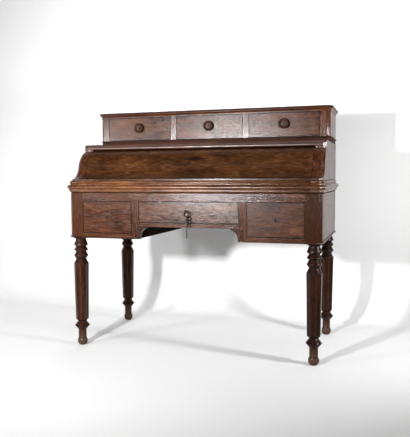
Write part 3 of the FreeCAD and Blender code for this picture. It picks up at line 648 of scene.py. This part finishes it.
low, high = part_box("ring_and_long_key")
ring_radius, ring_wire, ring_rise = 0.0148, 0.0014, 0.0036
ring_turn = math.radians(20)
ring_axis = Vector((-math.sin(ring_turn), -math.cos(ring_turn), 0))
ring_out, ring_drop = 0.010, 0.016
ring_middle = Vector((0, front_y - ring_out, high[2] - ring_drop))
long_bow_radius, long_bow_wire, long_bow_drop = 0.0076, 0.0018, 0.0188
long_bow = ring_middle - Vector((0, 0, long_bow_drop))
long_bit_half, long_bit_rise = 0.001, 0.0023
bunch = bmesh.new()
wire_ring(bunch, ring_middle - ring_axis * (ring_rise / 2), ring_axis, ring_radius, ring_wire, 2, ring_rise)
wire_ring(bunch, long_bow, (1, 0, 0), long_bow_radius, long_bow_wire)
shank_length = long_bow[2] - low[2]
lathe(bunch, long_bow, (0, 0, -1),
      (0, 0.0078), (0.0024, 0.0078), (0.0024, 0.0098), (0.0037, 0.0102), (0.0037, 0.0112), (0.0028, 0.0118),
      (0.0034, 0.0126), (0.0034, 0.0134), (0.0023, 0.014), (0.0021, shank_length - 0.022),
      (0.0031, shank_length - 0.021), (0.0031, shank_length - 0.0195), (0.0022, shank_length - 0.0185),
      (0.0022, shank_length - 0.0008), (0.0014, shank_length), (0, shank_length))
bit_foot = low[2] + long_bit_rise
teeth = ((0, 0.011), (-0.008, 0.011), (-0.008, 0.0082), (-0.0045, 0.0082), (-0.0045, 0.0068),
         (-0.008, 0.0068), (-0.008, 0.0042), (-0.0045, 0.0042), (-0.0045, 0.0028), (-0.008, 0.0028),
         (-0.008, 0), (0, 0))
cut_plate(bunch, [Vector((-long_bit_half, long_bow[1] + back, bit_foot + rise)) for back, rise in teeth],
          (2 * long_bit_half, 0, 0))
key_bunch = settle(bunch, "split_ring_and_long_key", iron, "key_bunch")
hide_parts("ring_and_long_key")
dress(iron, "lock_bolt", "lock_key", "ring_and_long_key")

# Link and small key: a second ring of iron wire, hung through the split ring and turned a little out of its
# plane, with a short filed key on it.
link_radius, link_wire = 0.011, 0.0017
link_axis = (0.6, -0.8, 0)
link_middle = ring_middle + Vector((0.0095, 0, -0.0181))
small_bow_radius, small_bow_wire = 0.0085, 0.0017
small_bow_axis = (0.55, 0.835, 0)
small_bow = link_middle + Vector((0.002, 0, -0.0170))
small_length = 0.0325
small_bit_half, small_bit_rise = 0.0009, 0.001
small = bmesh.new()
wire_ring(small, link_middle, link_axis, link_radius, link_wire)
wire_ring(small, small_bow, small_bow_axis, small_bow_radius, small_bow_wire)
lathe(small, small_bow, (0, 0, -1),
      (0, 0.0085), (0.0024, 0.0085), (0.0024, 0.0102), (0.0036, 0.0106), (0.0036, 0.0118), (0.0023, 0.0124),
      (0.0023, small_length - 0.0006), (0.0016, small_length), (0, small_length))
teeth = ((0, 0.008), (0.006, 0.008), (0.006, 0.0052), (0.0035, 0.0052), (0.0035, 0.0036), (0.006, 0.0036),
         (0.006, 0), (0, 0))
bit_face = small_bow[1] - small_bit_half
bit_foot = small_bow[2] - small_length + small_bit_rise
cut_plate(small, [Vector((small_bow[0] + out, bit_face, bit_foot + rise)) for out, rise in teeth],
          (0, 2 * small_bit_half, 0))
settle(small, "link_and_small_key", iron, "key_bunch")


# Studio: a white paper floor, and a paper wall close behind the desk that is clear from its back. Soft lamps
# about as high as the desk stand left of the camera, further left and near the right side. A wash lights the
# wall and floor on the left, and weak fills hang behind and overhead.
def white_paper(name):
    """Matt white paper, very slightly uneven."""
    paint = Finish(name)
    tint = paint.noise(paint.place(), scale=1.3, detail=2.0)
    paint.finish({"Base Color": paint.mix(tint, (0.6, 0.6, 0.6), (0.64, 0.64, 0.64)), "Roughness": 0.8})
    return paint


def stage_piece(shape, name, paint):
    """Turn a bmesh into a piece of the studio."""
    made = as_object(shape, name, paint.material)
    made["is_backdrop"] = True
    return made


floor_half = 9.0
floor = bmesh.new()
bmesh.ops.create_grid(floor, x_segments=1, y_segments=1, size=floor_half)
stage_piece(floor, "floor", white_paper("floor_paper"))

wall_y, wall_half, wall_height, wall_bend = 0.75, 6.0, 4.0, 0.25
paper = bmesh.new()
ends = [paper.verts.new((side * wall_half, wall_y - wall_bend, 0)) for side in (-1, 1)]
rolled = bmesh.ops.spin(paper, geom=ends + [paper.edges.new(ends)], cent=(0, wall_y - wall_bend, wall_bend),
                        axis=(1, 0, 0), angle=math.pi / 2, steps=12)
top_edges = [item for item in rolled["geom_last"] if isinstance(item, bmesh.types.BMEdge)]
move_new(paper, bmesh.ops.extrude_edge_only(paper, edges=top_edges), (0, 0, wall_height))
paper.normal_update()
bmesh.ops.reverse_faces(paper, faces=[face for face in paper.faces if face.normal.z < face.normal.y])
paint = white_paper("wall_paper")
behind = paint.node("ShaderNodeNewGeometry", {}, {}, "Backfacing")
clear = paint.node("ShaderNodeBsdfTransparent", {}, {})
seen = paint.node("ShaderNodeMixShader", {}, {0: behind, 1: Wire(paint, paint.shader.outputs[0]), 2: clear})
paint.feed(paint.tree.nodes["Material Output"].inputs["Surface"], seen)
stage_piece(paper, "paper_wall", paint).visible_shadow = False


def soft_lamp(name, place, aim, size, spread, power):
    """Square soft lamp that looks at a point, with a grid that narrows its beam to an angle."""
    light = bpy.data.lights.new(name, "AREA")
    light.shape = "SQUARE"
    light.size = size
    light.spread = math.radians(spread)
    light.energy = power
    lamp = bpy.data.objects.new(name, light)
    lamp.location = place
    lamp.rotation_euler = (Vector(aim) - Vector(place)).to_track_quat("-Z", "Y").to_euler()
    bpy.context.collection.objects.link(lamp)


soft_lamp("key_lamp", (-0.54, -2.45, 1.02), (-0.1, 1.0, 1.3), size=0.14, spread=110, power=58)
soft_lamp("left_lamp", (-1.75, -2.1, 1.1), (-0.3, 0.5, 1.0), size=0.3, spread=110, power=14)
soft_lamp("side_lamp", (1.83, -0.53, 0.95), (0.4, 0.3, 0.85), size=0.14, spread=130, power=22)
soft_lamp("left_wash", (-2.9, -1.4, 2.4), (-2.1, 0.0, 0.1), size=0.6, spread=60, power=6.5)
soft_lamp("rear_fill", (-0.6, 4.2, 2.6), (0, 0.3, 0.7), size=3, spread=60, power=14)
soft_lamp("top_fill", (0.3, -2.0, 4.5), (0, 0, 0.5), size=4, spread=180, power=8)

world = bpy.data.worlds.new("studio")
world.use_nodes = True
world.node_tree.nodes["Background"].inputs["Color"].default_value = (1, 1, 1, 1)
world.node_tree.nodes["Background"].inputs["Strength"].default_value = 0.22
bpy.context.scene.world = world

# Camera: where the photograph was taken from, right of the desk, as high as its writing slide and turned
# down a little. The straight edges of the case gave its place and its lens.
camera_place = Vector((0.8749, -2.8112, 0.8193))
camera_yaw = math.radians(17.44)
camera_pitch = math.radians(3.89)
camera_roll = -0.0040
ahead = Vector((-math.sin(camera_yaw) * math.cos(camera_pitch),
                math.cos(camera_yaw) * math.cos(camera_pitch),
                -math.sin(camera_pitch)))
right = Vector((math.cos(camera_yaw), math.sin(camera_yaw), 0))
up = right.cross(ahead)
rolled_right = math.cos(camera_roll) * right + math.sin(camera_roll) * up
rolled_up = math.cos(camera_roll) * up - math.sin(camera_roll) * right
camera_data = bpy.data.cameras.new("camera")
camera_data.sensor_width = 36.0
camera_data.lens = 48.34
camera = bpy.data.objects.new("camera", camera_data)
facing = Matrix((rolled_right, rolled_up, -ahead)).transposed().to_4x4()
camera.matrix_world = Matrix.Translation(camera_place) @ facing
bpy.context.collection.objects.link(camera)
bpy.context.scene.camera = camera
bpy.context.scene.view_settings.view_transform = "Standard"

low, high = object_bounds()
